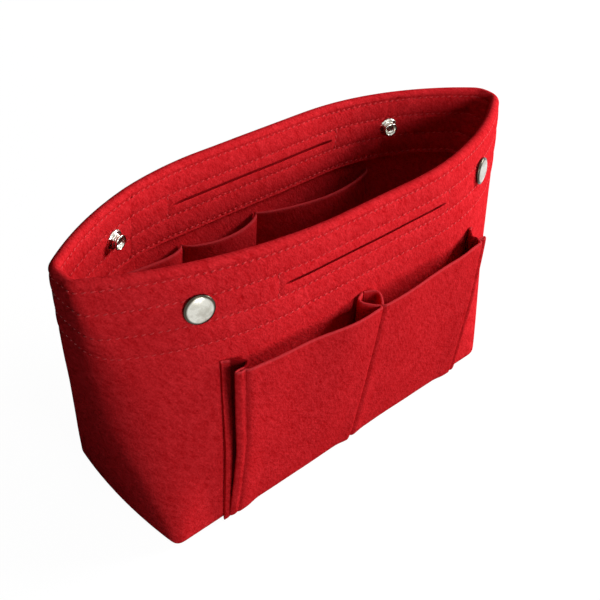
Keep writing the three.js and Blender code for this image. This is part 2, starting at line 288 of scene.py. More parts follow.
class StageSettings(bpy.types.PropertyGroup):
    """The camera, the floor and the light"""

    eye: lengths("Eye", "Place of the camera", (-0.3006, -0.2966, 0.3990))
    azimuth: angle("Azimuth", "Camera's turn about Z", math.radians(-45.48))
    elevation: angle("Elevation", "Camera's tilt down", math.radians(37.53))
    roll: angle("Roll", "Camera's roll", math.radians(4.11))
    lens: FloatProperty(
        name="Lens", description="Focal length in millimetres", default=57.66, subtype="DISTANCE_CAMERA")
    floor: colour("Floor", "Colour of the floor", (0.42, 0.42, 0.42))
    key: FloatProperty(
        name="Key Light", description="Power of the key light in watts", default=15.0, unit="POWER")
    fill: ratio("Sky", "Strength of the even light from all sides", 0.006)


# A stretch of the top edge, from the middle of a wall to an end: the radius of its curve and the turn to
# its corner, the corner's radius, the share of the end that the corner takes half way up the wall, and how
# late on the way up the curve begins
Rim = namedtuple("Rim", "radius turn corner round flare")


class BodyShape:
    """Places points on the leaning wall, whose outline is straight stretches and arcs at every height."""

    def __init__(self, body):
        self.body = body
        self.known = {}
        self.rims = {
            "left": self.rim(
                body.left_straight, body.left_radius, body.left_corner, body.left_round, body.left_flare),
            "right": self.rim(body.right_straight, body.right_radius, body.right_corner, body.right_round),
            "back": self.rim(body.back_straight, body.back_radius, body.back_corner, body.back_round),
        }
        self.girth = self.quarter(0, "right")

    def rim(self, straight, radius, corner, rounded, flare=1):
        """A stretch whose curve turns just far enough to end at the body's length."""
        turn = math.asin((self.body.top_length / 2 - straight - corner) / (radius - corner))
        return Rim(radius, turn, corner, rounded, flare)

    def stretches(self, z, part):
        """Length and radius of each stretch from a wall's middle to the middle of an end."""
        if (z, part) not in self.known:
            body = self.body
            rim = self.rims[part]
            turn = rim.turn
            share = z / body.height
            side = mix(body.base_corner, rim.radius, share**rim.flare)
            bow = max(WELD, body.end_bow * (1 - share))
            left_over = body.width / 2 + body.swell * share - side * (1 - math.cos(turn))
            facing_end = math.cos(turn) - math.sin(bow)
            half_way_up = ease(share / ROUND_GROWS) * ease((1 - share) / ROUND_FADES)
            corner = mix(body.base_corner, rim.corner, share)
            corner = mix(corner, left_over / facing_end, rim.round * half_way_up)
            end = left_over - corner * facing_end
            straight = mix(body.base_length, body.top_length, share) / 2 - side * math.sin(turn)
            straight -= corner * (math.cos(bow) - math.sin(turn)) + end * math.tan(bow / 2)
            end_radius = end / math.sin(bow)
            self.known[z, part] = (
                (straight, None), (side * turn, side), (corner * (math.pi / 2 - turn - bow), corner),
                (end_radius * bow, end_radius))
        return self.known[z, part]

    def quarter(self, z, part):
        """Length of the outline from a wall's middle to the middle of an end."""
        return sum(span for span, _ in self.stretches(z, part))

    def distance(self, z, part, share):
        """How far along the outline a share of the quarter is: a true length but for the round end."""
        wanted = share * self.girth
        wall = sum(span for span, _ in self.stretches(z, part)[:2])
        if wanted <= wall:
            return wanted
        return mix(wall, self.quarter(z, part), (wanted - wall) / (self.girth - wall))

    def walk(self, z, part, distance):
        """Where a walk along the outline gets to, and its heading."""
        x, y, heading = 0.0, -self.body.width / 2 - self.body.swell * z / self.body.height, 0.0
        for span, radius in self.stretches(z, part):
            step = min(distance, span)
            if radius is None:
                x += step * math.cos(heading)
                y += step * math.sin(heading)
            else:
                turned = heading + step / radius
                x += radius * (math.sin(turned) - math.sin(heading))
                y += radius * (math.cos(heading) - math.cos(turned))
                heading = turned
            distance -= step
        return x, y, heading

    def point(self, turn, z, depth):
        """A point at a height and a depth inwards; turn 0 is the front's middle, 1 the right end's."""
        around = turn - 4 if turn > 2 else turn
        left = around < 0
        front = abs(around) <= 1
        part = "back" if not front else "left" if left else "right"
        share = 1 - abs(1 - abs(around))
        level = max(z, self.body.fold)
        x, y, heading = self.walk(level, part, self.distance(level, part, share))
        x -= math.sin(heading) * depth
        y += math.cos(heading) * depth
        return Vector((-x if left else x, y if front else -y, z))

    def front(self, along):
        """The turn of a place along the front wall."""
        return along / self.girth

    def back(self, along):
        """The turn of a place along the back wall."""
        return 2 - along / self.girth

    def seat(self, turn, z, depth):
        """Axes on the wall: along it to the right, up it and straight out of it, with a point on it."""
        probe = 0.001
        ahead = self.point(turn + self.front(probe), z, depth)
        behind = self.point(turn - self.front(probe), z, depth)
        along = (ahead - behind).normalized()
        up = (self.point(turn, z + probe, depth) - self.point(turn, z - probe, depth)).normalized()
        return along, up, along.cross(up).normalized(), self.point(turn, z, depth)


def mix(low, high, share):
    """The value at a share of the way from low to high."""
    return low + (high - low) * share


def clamp(share):
    """A share kept within 0 and 1."""
    return min(1, max(0, share))


def ease(share):
    """Smooth step from 0 to 1."""
    share = clamp(share)
    return share * share * (3 - 2 * share)


def evenly(start, stop, step):
    """Values from start to stop, a whole number of steps apart."""
    count = max(1, round(abs(stop - start) / step))
    return [mix(start, stop, i / count) for i in range(count + 1)]


def merged_values(coarse, fine, clear):
    """Both lists in order, less the coarse values that lie close to a fine one."""
    kept = [c for c in coarse if all(abs(c - f) > clear for f in fine)]
    return sorted({*kept, *fine, coarse[0], coarse[-1]})


def wave(point, size, height):
    """Soft unevenness of felt, the same for every piece at one place."""
    return height * noise.noise(point / size)


def smooth_path(points, per_span):
    """A curve through plan points, as a Catmull-Rom spline."""
    ends = [2 * points[0] - points[1], *points, 2 * points[-1] - points[-2]]
    path = []
    for a, b, c, d in zip(ends, ends[1:], ends[2:], ends[3:]):
        for i in range(per_span):
            t = i / per_span
            path.append(0.5 * (2 * b + (c - a) * t + (2 * a - 5 * b + 4 * c - d) * t**2
                               + (3 * b - a - 3 * c + d) * t**3))
    return [*path, points[-1]]


def mapped_grid(bm, across, up, place, shade):
    """A grid whose vertices are put where place(u, v) says, for the values of two lists.

    Each vertex also keeps whether it is on a cut edge, and how much painted shade, from shade(u, v), darkens
    it.
    """
    wide = len(across) - 1
    tall = len(up) - 1
    cut = bm.verts.layers.float.new("cut")
    # The deep layer keeps the share of painted shade at each vertex
    deep = bm.verts.layers.float.new("deep")
    made = bmesh.ops.create_grid(bm, x_segments=wide, y_segments=tall, size=0.5)
    for vert in made["verts"]:
        u = across[round((vert.co.x + 0.5) * wide)]
        v = up[round((vert.co.y + 0.5) * tall)]
        vert.co = place(u, v)
        vert[cut] = v.cut
        vert[deep] = shade(u, v)


def open_loops(bm):
    """The mesh's open edges, as one list for each loop, in the order of their places."""
    left = [edge for edge in bm.edges if edge.is_boundary]
    left.sort(key=lambda edge: tuple(edge.verts[0].co + edge.verts[1].co))
    loops = []
    while left:
        loop = [left.pop()]
        for edge in loop:
            near = [other for other in left if not set(other.verts).isdisjoint(edge.verts)]
            left = [other for other in left if other not in near]
            loop.extend(near)
        loops.append(loop)
    return loops


def make_object(name, bm, material):
    """Turns a bmesh into a smooth object at the origin."""
    mesh = bpy.data.meshes.new(name)
    bmesh.ops.recalc_face_normals(bm, faces=bm.faces)
    for face in bm.faces:
        face.smooth = True
    bm.to_mesh(mesh)
    bm.free()
    mesh.materials.append(material)
    obj = bpy.data.objects.new(name, mesh)
    bpy.context.scene.collection.objects.link(obj)
    return obj


def subdivide(obj, levels):
    """Softens a piece by a live subdivision."""
    modifier = obj.modifiers.new("Soft", "SUBSURF")
    modifier.levels = levels
    modifier.render_levels = levels
    return obj


def no_painted_shade(u, v):
    """No painted shade: felt that lies open to the light."""
    return 0


def felt_piece(name, columns, stations, place, material, shade=no_painted_shade):
    """A closed felt piece: a section through its stations, carried along the columns and capped."""
    bm = bmesh.new()
    mapped_grid(bm, columns, [*stations, stations[0]], place, shade)
    bmesh.ops.remove_doubles(bm, verts=bm.verts, dist=WELD)
    crease = bm.edges.layers.float.new("crease_edge")
    for loop in open_loops(bm):
        for edge in loop:
            edge[crease] = 1
            edge.smooth = False
        bmesh.ops.triangle_fill(bm, use_beauty=True, edges=loop)
    return subdivide(make_object(name, bm, material), 1)


class Paint:
    """A shader socket that takes part in Python expressions; arithmetic on it adds Math nodes."""

    def __init__(self, tree, socket=None):
        self.tree = tree
        self.socket = socket

    def node(self, kind, settings, sockets, output=0):
        """Adds a node: its settings first, then the values or links of its sockets; gives one output."""
        made = self.tree.nodes.new(kind)
        for key, value in settings.items():
            setattr(made, key, value)
        for key, value in sockets.items():
            if isinstance(value, Paint):
                self.tree.links.new(value.socket, made.inputs[key])
            else:
                made.inputs[key].default_value = value
        return Paint(self.tree, made.outputs[output] if made.outputs else None)

    def math(self, operation, *values):
        return self.node("ShaderNodeMath", {"operation": operation}, dict(enumerate(values)))

    def __add__(self, other):
        return self.math("ADD", self, other)

    __radd__ = __add__

    def __sub__(self, other):
        return self.math("SUBTRACT", self, other)

    def __rsub__(self, other):
        return self.math("SUBTRACT", other, self)

    def __mul__(self, other):
        return self.math("MULTIPLY", self, other)

    __rmul__ = __mul__

    def blend(self, low, high):
        """A colour mix with this value as its factor."""
        return self.node("ShaderNodeMix", {"data_type": "RGBA"}, {0: self, 6: low, 7: high}, 2)

    def span(self, low, high):
        """This value, stretched so that low to high becomes 0 to 1."""
        return self.node("ShaderNodeMapRange", {"clamp": True}, {0: self, 1: low, 2: high})


def start_material(name):
    """A new node material's Object coordinates and its Principled shader."""
    material = bpy.data.materials.new(name)
    material.use_nodes = True
    tree = material.node_tree
    shader = tree.nodes["Principled BSDF"]
    return material, Paint(tree).node("ShaderNodeTexCoord", {}, {}, "Object"), shader


def link(value, shader, name):
    """Feeds a value to one of the shader's sockets."""
    value.tree.links.new(value.socket, shader.inputs[name])


def raise_by(height, shader, strength, distance):
    """Roughens the surface by a value, in the shading only."""
    bump = height.node(
        "ShaderNodeBump", {}, {"Strength": strength, "Distance": distance, "Height": height})
    link(bump, shader, "Normal")


def attribute(place, name):
    """A value that the piece's vertices keep under a name."""
    return place.node("ShaderNodeAttribute", {"attribute_name": name}, {}, "Fac")


def opaque(rgb):
    """A colour with full alpha, as sockets take it."""
    return (*rgb, 1)


def noise_of(place, scale, detail, roughness=0.5, stretch=(1, 1, 1), turn=(0, 0, 0)):
    """Noise in place's coordinates; a stretch draws it out into strands across the turned X axis."""
    laid = place.node(
        "ShaderNodeMapping", {"vector_type": "TEXTURE"},
        {"Vector": place, "Scale": stretch, "Rotation": turn})
    return place.node(
        "ShaderNodeTexNoise", {},
        {"Vector": laid, "Scale": scale, "Detail": detail, "Roughness": roughness})


# How each layer of fibres is turned, and its share in the felt
FIBRE_LAYERS = (
    ((0.0, -0.55, 0.3), 0.34),
    ((0.2, -0.20, -0.3), 0.24),
    ((-0.2, -0.90, 0.5), 0.24),
    ((0.3, 0.70, 0.2), 0.18),
)


def felt_material(name, dark, light, cut_edge, hollow, grain, contrast):
    """Needle felt: matted layers of fibres that cross at several angles, with faint cloudy patches."""
    material, place, shader = start_material(name)
    strand = (1, 5, 5)
    speck_share = 0.3
    cloud_scale = 60
    cloud_share = 0.16 * contrast
    half_span = 0.16 / contrast
    cut_share = 0.8
    fuzz = 0.0004
    layers = [noise_of(place, grain, 2, 0.55, strand, turn) * share for turn, share in FIBRE_LAYERS]
    matted = sum(layers[1:], layers[0])
    specks = noise_of(place, grain * 1.3, 2, 0.6)
    clouds = noise_of(place, cloud_scale, 3, 0.5)
    mixed = matted * (1 - speck_share) + specks * speck_share
    fibres = mixed.span(0.5 - half_span, 0.5 + half_span)
    base = fibres.blend(opaque(dark), opaque(light))
    patches = (1 - clouds.span(0.30, 0.66)) * cloud_share
    cloudy = patches.blend(base, opaque(dark))
    edged = (attribute(place, "cut") * cut_share).blend(cloudy, opaque(cut_edge))
    # Painted shade: the hollow colour darkens the felt as far as the deep attribute says, in slits and behind
    # pinched folds
    link(attribute(place, "deep").blend(edged, opaque(hollow)), shader, "Base Color")
    link(0.86 + fibres * 0.12, shader, "Roughness")
    raise_by(fibres, shader, 0.35 * contrast, fuzz)
    shader.inputs["Specular IOR Level"].default_value = 0
    shader.inputs["Sheen Weight"].default_value = 0.04
    shader.inputs["Sheen Roughness"].default_value = 0.5
    shader.inputs["Sheen Tint"].default_value = opaque(light)
    return material


def thread_material(name, finish):
    """Twisted polyester thread."""
    material, place, shader = start_material(name)
    twist_scale = 2600
    twist = noise_of(place, twist_scale, 2, 0.6, (1, 0.4, 0.4), (0.4, 0.2, 0.6)).span(0.3, 0.7)
    link(twist.blend(opaque(finish.felt_dark), opaque(finish.thread)), shader, "Base Color")
    link(0.42 + twist * 0.2, shader, "Roughness")
    raise_by(twist, shader, 0.4, 0.0001)
    shader.inputs["Specular IOR Level"].default_value = 0.1
    return material


def nickel_material(name, finish, dull):
    """Polished nickel plate with spots of tarnish, fine scratches, and painted shade and dark reflection on
    the rim.
    """
    material, place, shader = start_material(name)
    stain_scale = 190
    stain_share = 0.7
    scratch_scale = 2400
    stain = noise_of(place, stain_scale, 3, 0.5).span(0.43, 0.60)
    scratch = noise_of(place, scratch_scale, 2, 0.6, (1, 0.05, 0.3), (0.5, 0.3, 0.9)).span(0.35, 0.7)
    plate = (stain * stain_share).blend(opaque(finish.nickel), opaque(finish.tarnish))
    # Painted shade and reflection: the rim colour darkens the caps' steep rims where the rim attribute is set
    link(attribute(place, "rim").blend(plate, opaque(finish.rim)), shader, "Base Color")
    link(dull + stain * 0.12 + scratch * 0.05, shader, "Roughness")
    raise_by(scratch, shader, 0.06, 0.00005)
    shader.inputs["Metallic"].default_value = 1
    return material


def kept_material(name, make, *values):
    """The material of that name, made the first time it is asked for."""
    return bpy.data.materials.get(name) or make(name, *values)


def wall_felt(finish):
    """The felt of the walls and the base."""
    colours = finish.felt_dark, finish.felt_light, finish.felt_cut, finish.hollow
    grain = 900
    contrast = 1.3
    return kept_material("red wall felt", felt_material, *colours, grain, contrast)


def pocket_felt(finish):
    """The thinner felt of the pockets."""
    colours = finish.pocket_dark, finish.pocket_light, finish.felt_cut, finish.hollow
    grain = 880
    contrast = 1.35
    return kept_material("red pocket felt", felt_material, *colours, grain, contrast)


def red_thread(finish):
    """The thread of the hem's stitching."""
    return kept_material("red thread", thread_material, finish)


def stitch_heights(scene):
    """Heights of the hem's rows of stitches, the uppermost first."""
    return [scene.insert_body.height - drop for drop in scene.insert_stitches.rows]


def seam_relief(scene, across):
    """How far a row of stitches pulls the felt in at a distance from it."""
    return scene.insert_stitches.groove * math.exp(-(across / GROOVE_HALF) ** 2)


def row_relief(scene, z):
    """How far the hem's stitch rows pull the felt in at a height; between rows it swells."""
    rows = stitch_heights(scene)
    pull = sum(seam_relief(scene, z - row) for row in rows)
    for upper, lower in zip(rows, rows[1:]):
        if lower < z < upper:
            pull -= scene.insert_stitches.puff * math.sin(math.pi * (z - lower) / (upper - lower))
    return pull


def from_slit(scene, along, z):
    """How far a place lies past the slit's nearer end and above its middle."""
    slit = scene.insert_slit
    return abs(along - slit.shift) - slit.span / 2, z - (scene.insert_body.height - slit.drop)


def in_slit(scene, along, z):
    """Whether a place lies in the open cut."""
    past_end, rise = from_slit(scene, along, z)
    return past_end < 0 and abs(rise) < scene.insert_slit.gape / 2


def slit_relief(scene, along, z):
    """How far the felt goes in and down at the slit: the open cut and the sunk lower lip."""
    slit = scene.insert_slit
    past_end, rise = from_slit(scene, along, z)
    rows = stitch_heights(scene)
    if past_end > 0:
        return (seam_relief(scene, past_end - slit.box_margin), 0) if rows[2] < z < rows[1] else (0, 0)
    if in_slit(scene, along, z):
        opened = ease(-past_end / SLIT_TAPER)
        return slit.depth * opened, slit.fall * opened * (0.5 - rise / slit.gape)
    near = ease(1 - (abs(rise) - slit.gape / 2) / LIP_REACH) * ease(-past_end / LIP_REACH)
    return (slit.lip * near, 0) if rise < 0 else (0, 0)


def facing_relief(scene, along):
    """How far the upright seams between the facing's strips pull it in."""
    return sum(seam_relief(scene, along - place) for place in FACING_SEAMS)


def hem_levels(scene, low, high, with_slit):
    """Heights for the felt's mesh, close together at the stitch rows and at the slit."""
    near = 0.0008
    far = 0.0018
    coarse = 0.008
    clear = 0.0022
    fine = []
    for row in stitch_heights(scene):
        fine += [row + offset for offset in (-far, -near, 0, near, far)]
    if with_slit:
        slit = scene.insert_slit
        middle = scene.insert_body.height - slit.drop
        edge = slit.gape / 2
        lip = 0.00006
        lip_back = 0.0009
        lip_end = 0.0026
        for side in (-1, 1):
            fine += [middle + side * (edge + offset) for offset in (-lip, lip, lip_back, lip_end)]
    fine = [z for z in fine if low < z < high]
    return merged_values(evenly(low, high, coarse), fine, clear)


def hem_round(body):
    """Stations over the hem's round top, from the outer face to the inner."""
    hem = body.layers / 2
    steps = 6
    angles = [math.pi * i / steps for i in range(1, steps)]
    middle = body.height - hem
    return [Station(middle + hem * math.sin(a), hem - hem * math.cos(a), EDGE) for a in angles]


def wall_stations(scene, slit_face):
    """The section of a wall with its hem: up outside, over the top, down inside and round the fold."""
    body = scene.insert_body
    fold = body.fold
    inside = fold - body.felt
    hem = body.layers / 2
    steps = 5
    angles = [math.pi / 2 * i / steps for i in range(steps)]
    stations = [Station(fold - fold * math.cos(a), fold - fold * math.sin(a), EDGE) for a in angles]
    outer = hem_levels(scene, fold, body.height - hem, slit_face == OUTER)
    stations += [Station(z, 0, OUTER) for z in outer]
    stations += hem_round(body)
    facing = hem_levels(scene, body.facing_foot, body.height - hem, slit_face == INNER)
    worn = 0.0005
    coarse = 0.009
    foot = body.facing_foot
    stations += [Station(z, body.layers, INNER) for z in reversed(facing) if z > foot + worn]
    stations.append(Station(foot + worn, body.layers, EDGE))
    stations.append(Station(foot, body.layers - worn, EDGE, 1))
    stations.append(Station(foot, body.felt + worn / 2, EDGE))
    lower = evenly(foot - worn, fold, coarse)
    stations += [Station(z, body.felt, EDGE) for z in lower]
    for a in reversed(angles):
        stations.append(Station(fold - inside * math.cos(a), fold - inside * math.sin(a), EDGE))
    return stations


def wall_columns(scene, shape):
    """Places along half the body, close together on the round ends, at seams and at the slit's ends."""
    slit = scene.insert_slit
    rounding = 0.108
    wall_step = 0.0045
    end_step = 0.0021
    clear = 0.0014
    cut = 0.0002
    seam = 0.0008
    fine = []
    for side in (-1, 1):
        end = slit.shift + side * slit.span / 2
        box = end + side * slit.box_margin
        fine += [end - side * SLIT_TAPER, end - side * SLIT_TAPER / 2, end - cut, end + cut]
        fine += [box - seam, box, box + seam]
    for place in FACING_SEAMS:
        fine += [place - seam, place, place + seam]
    middle = merged_values(evenly(-rounding, rounding, wall_step), sorted(fine), clear)
    end = evenly(rounding, shape.girth, end_step)
    return [-place for place in reversed(end)] + middle[1:-1] + end


def wall_place(scene, shape, turn_of, slit_face):
    """Puts a station of the hemmed wall in place, with its stitch grooves, slit and soft waves."""
    ripple = scene.insert_body.ripple
    wave_size = 0.033
    calm_foot = 0.03

    def place(along, station):
        turn = turn_of(along)
        pull = 0
        fall = 0
        if station.face != EDGE:
            pull = row_relief(scene, station.z)
            if station.face == slit_face:
                opened, fall = slit_relief(scene, along, station.z)
                pull += opened
            if station.face == slit_face == INNER:
                pull += facing_relief(scene, along)
        point = shape.point(turn, station.z, station.depth + station.face * pull)
        sway = wave(point, wave_size, ripple) * ease(station.z / calm_foot)
        return shape.point(turn, station.z - fall, station.depth + station.face * pull + sway)

    return place


def paint_slit_shade(scene, slit_face):
    """Paints shade on the floor of the slit."""

    def shade(along, station):
        cut = station.face == slit_face and in_slit(scene, along, station.z)
        return PAINTED_SLIT_SHADE if cut else 0

    return shade


class Thread:
    """Sews copies of one stitch, a short rounded thread that lies in its groove, into one mesh."""

    def __init__(self, stitches):
        size = Matrix.Diagonal((stitches.thread / 2, stitches.thread / 2, stitches.stitch / 2, 1))
        one = bmesh.new()
        bmesh.ops.create_uvsphere(one, u_segments=6, v_segments=4, radius=1, matrix=size)
        self.stitch = bpy.data.meshes.new("stitch")
        one.to_mesh(self.stitch)
        one.free()
        self.bm = bmesh.new()

    def sew(self, centre, direction, outward):
        """One stitch along a direction, a little across its row."""
        slant = math.radians(16)
        laid = (Matrix.Rotation(slant, 3, outward) @ direction).normalized()
        side = outward.cross(laid).normalized()
        axes = Matrix((side, laid.cross(side), laid)).transposed().to_4x4()
        copy = self.stitch.copy()
        copy.transform(Matrix.Translation(centre) @ axes)
        self.bm.from_mesh(copy)
        bpy.data.meshes.remove(copy)

    def finish(self, name, material):
        """All the stitches as one object."""
        bpy.data.meshes.remove(self.stitch)
        return make_object(name, self.bm, material)


def stitch_depth(scene, face, groove):
    """How deep from the wall's outer face a stitch lies, in a groove on one of its faces."""
    sunk = groove * SEWN_DEPTH
    return sunk if face == OUTER else scene.insert_body.layers - sunk


def hem_rows(sewing, scene, shape, turns, face):
    """The rows of stitches round one half of the hem, on its outer or inner face."""
    count = int(2 * shape.girth / scene.insert_stitches.pitch)
    for z in stitch_heights(scene):
        depth = stitch_depth(scene, face, row_relief(scene, z))
        for i in range(count):
            turn = mix(turns[0], turns[1], (i + 0.5) / count)
            along, _, outward, point = shape.seat(turn, z, depth)
            sewing.sew(point, along, face * outward)


def slit_ends(sewing, scene, shape, turn_of, face):
    """The upright stitches that close the slit's box at both ends."""
    slit = scene.insert_slit
    rows = stitch_heights(scene)
    count = round((rows[1] - rows[2]) / scene.insert_stitches.pitch)
    depth = stitch_depth(scene, face, seam_relief(scene, 0))
    for side in (-1, 1):
        place = slit.shift + side * (slit.span / 2 + slit.box_margin)
        for i in range(count):
            z = mix(rows[2], rows[1], (i + 0.5) / count)
            _, up, outward, point = shape.seat(turn_of(place), z, depth)
            sewing.sew(point, up, face * outward)


class INSERT_OT_base(bpy.types.Operator):
    """Model the felt base between the walls' folds"""

    bl_idname = "insert.base"
    bl_label = "Felt Base"

    def execute(self, context):
        scene = context.scene
        body = scene.insert_body
        shape = BodyShape(body)
        tuck = 0.0006
        edge = 0.0006
        edge_from = 0.985
        flat_to = 0.9
        bow_share = 0.8
        wave_size = 0.04
        wave_height = 0.0005
        half_length = shape.point(1, body.fold, body.fold - tuck).x
        half_width = -shape.point(0, body.fold, body.fold - tuck).y
        bow = bow_share * half_width * math.tan(body.end_bow / 2)
        across = [-edge_from, *evenly(-flat_to, flat_to, 0.2), edge_from]
        stations = [Station(0, share, EDGE) for share in across]
        stations += [Station(edge, 1, EDGE), Station(body.felt - edge, 1, EDGE)]
        stations += [Station(body.felt, share, EDGE) for share in reversed(across)]
        stations += [Station(body.felt - edge, -1, EDGE), Station(edge, -1, EDGE)]

        def place(share, station):
            reach = half_length - bow * station.depth**2
            point = Vector((share * reach, station.depth * half_width, station.z))
            if station.z == body.felt:
                inside = (1 - station.depth**2) * (1 - share**2)
                point.z += wave(point, wave_size, wave_height) * inside
            return point

        columns = [-1, *evenly(-edge_from, edge_from, 0.05), 1]
        base = felt_piece("base_felt", columns, stations, place, wall_felt(scene.insert_finish))
        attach(base, "base")
        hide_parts("base_panel")
        return {"FINISHED"}


# One half of the body: its wall, the nodes it stands for, the face that its slit is cut in, and
# the side of the base that it is on
Half = namedtuple("Half", "name wall nodes slit_face side")
HALVES = (
    Half("front", "front_wall", ("front_panel", "front_facing"), OUTER, -1),
    Half("back", "back_wall", ("back_panel", "back_facing"), INNER, 1),
)
END_NODES = ("left_end_panel", "left_end_facing", "right_end_panel", "right_end_facing")


def follow_wall(piece, half):
    """Bakes the piece's transform into its mesh; nothing here bends the ends or makes the felt move with the
    wall.
    """
    bend_from = 0.001
    bend_to = 0.027
    half.side * bend_from
    half.side * bend_to
    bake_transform(piece)


def half_turn(shape, half):
    """The turn of a place along one half of the body, and the turns of the half's two ends."""
    return (shape.front, (-1, 1)) if half.name == "front" else (shape.back, (1, 3))


class INSERT_OT_walls(bpy.types.Operator):
    """Model the front and back halves of the body with their hems and slits"""

    bl_idname = "insert.walls"
    bl_label = "Felt Walls"

    def execute(self, context):
        scene = context.scene
        body = scene.insert_body
        shape = BodyShape(body)
        columns = wall_columns(scene, shape)
        for half in HALVES:
            turn_of, _ = half_turn(shape, half)
            stations = wall_stations(scene, half.slit_face)
            place = wall_place(scene, shape, turn_of, half.slit_face)
            shade = paint_slit_shade(scene, half.slit_face)
            material = wall_felt(scene.insert_finish)
            wall = felt_piece(half.name + "_body_felt", columns, stations, place, material, shade)
            follow_wall(wall, half)
            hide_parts(*half.nodes, *END_NODES)
            rise = body.height + body.fold + (body.height - body.facing_foot)
            2 * shape.girth
        return {"FINISHED"}


class INSERT_OT_hem_stitching(bpy.types.Operator):
    """Sew the rows round the hem and the upright stitches of the slit boxes"""

    bl_idname = "insert.hem_stitching"
    bl_label = "Hem Stitching"

    def execute(self, context):
        scene = context.scene
        shape = BodyShape(scene.insert_body)
        for half in HALVES:
            turn_of, turns = half_turn(shape, half)
            for face, side in ((OUTER, "outer"), (INNER, "inner")):
                sewing = Thread(scene.insert_stitches)
                hem_rows(sewing, scene, shape, turns, face)
                if face == half.slit_face:
                    slit_ends(sewing, scene, shape, turn_of, face)
                sewn = sewing.finish(f"{half.name}_hem_stitches_{side}", red_thread(scene.insert_finish))
                follow_wall(sewn, half)
        return {"FINISHED"}


# A point of a pocket strip, seen from above: its reach from the middle and its distance off the wall, both
# at the mouth and at the foot, the height of its foot and the felt's thickness there as a share
Bend = namedtuple("Bend", "reach off reach_foot off_foot foot thick")

# How the two pockets differ at their outer folds: how far the leaf is tucked in, how deep the crease in front
# of the fold is, the share of the felt's thickness left there, how far the foot is raised and the sag's share
Pinch = namedtuple("Pinch", "tucked crease creased raised sag")
PINCHES = {"left": Pinch(0.0085, 0.0006, 0.85, 0, 1), "right": Pinch(0.0062, 0.0020, 0.5, 0.0012, 0.4)}

# The first and last bend of the leaf that is tucked in behind a pinched fold, where shade is painted
TUCKED_LEAF = (2.75, 6)

# Share of the lower edge's rise that is left where the two faces are joined
JOINED_RISE = 0.6


def outer_fold(pocket, hand):
    """Reach of a pocket's outer fold, at the mouth and at the foot."""
    if hand == "left":
        return pocket.fold_left, pocket.fold_left
    return pocket.fold_right, pocket.fold_right_foot


def fold_bends(pocket, hand, wall, face, foot):
    """The outer side of a bellows pocket: sewn flange, tucked leaf, pinched tab and the crease beside it."""
    pinch = PINCHES[hand]
    fold, low = outer_fold(pocket, hand)
    seam = pocket.seam_left if hand == "left" else pocket.seam_right
    tab = pocket.tab
    flange = seam + pocket.flange
    flange_middle = seam + pocket.flange / 2
    flange_foot = foot - 0.002
    leaf_foot = foot - 0.001
    leaf_low = low - 0.0012
    front = wall + pocket.felt
    tip = wall + pocket.felt / 2
    half_tab = 0.55 * tab
    nip = 0.0002
    ease_out = 0.0009
    flat_from = 0.0030
    leaf_end = face - 0.0040
    pinched = face - 0.0022
    behind_tab = face - 0.0018
    tab_tip = face - 0.0007
    return [
        Bend(flange, wall, flange, wall, flange_foot, 0.8),
        Bend(flange_middle, wall, flange_middle, wall, flange_foot, 0.8),
        Bend(seam, wall + 2 * nip, seam, wall, flange_foot, 0.9),
        Bend(seam - 0.4 * pinch.tucked, mix(wall, face, 0.14), mix(seam, low, 0.3), wall, leaf_foot, 1),
        Bend(seam - pinch.tucked, mix(wall, face, 0.42), mix(seam, low, 0.6), wall, foot, 1),
        Bend(seam - 0.94 * pinch.tucked, leaf_end, leaf_low, wall, foot, 1),
        Bend(fold - nip, pinched, low + nip, wall, foot, 0.8),
        Bend(fold + half_tab, behind_tab, low + half_tab, wall, foot, 0.75),
        Bend(fold + tab, tab_tip, low + tab, tip, foot, 0.7),
        Bend(fold + half_tab, face + nip, low + half_tab, front, foot, 0.75),
        Bend(fold + nip, face - pinch.crease, low + nip, front - 0.6 * pinch.crease, foot, pinch.creased),
        Bend(fold - ease_out, face + nip / 2, low - ease_out, front + nip / 2, foot, 0.95),
        Bend(fold - flat_from, face + 1.5 * nip, low - flat_from, front + 1.5 * nip, foot + nip, 1),
    ]


def face_bends(pocket, hand, side, wall, face, star, foot):
    """The face of a bellows pocket, from its outer fold to the point where the two faces meet."""
    fold, low = outer_fold(pocket, hand)
    front = wall + pocket.felt
    begin = 0.007
    end = 0.0030
    hugged = 0.0009
    hugged_over = 0.1
    raised_over = 0.12
    joined_from = 0.8
    sag_lean = 1.2
    steps = 12
    bends = []
    for i in range(steps + 1):
        share = i / steps
        sag = -PINCHES[hand].sag * pocket.sag * math.sin(2 * math.pi * share**sag_lean)
        joined = ease((share - joined_from) / (1 - joined_from))
        raised = pocket.lift * ease(share / raised_over) * mix(1, JOINED_RISE, joined)
        sunk = front - hugged * ease(share / hugged_over) * ease((1 - share) / hugged_over)
        reach = mix(fold - begin, end + pocket.star * side, share)
        reach_foot = mix(low - begin, end, share)
        bends.append(Bend(reach, mix(face, star, share) + sag, reach_foot, sunk, foot + raised, 1))
    return bends


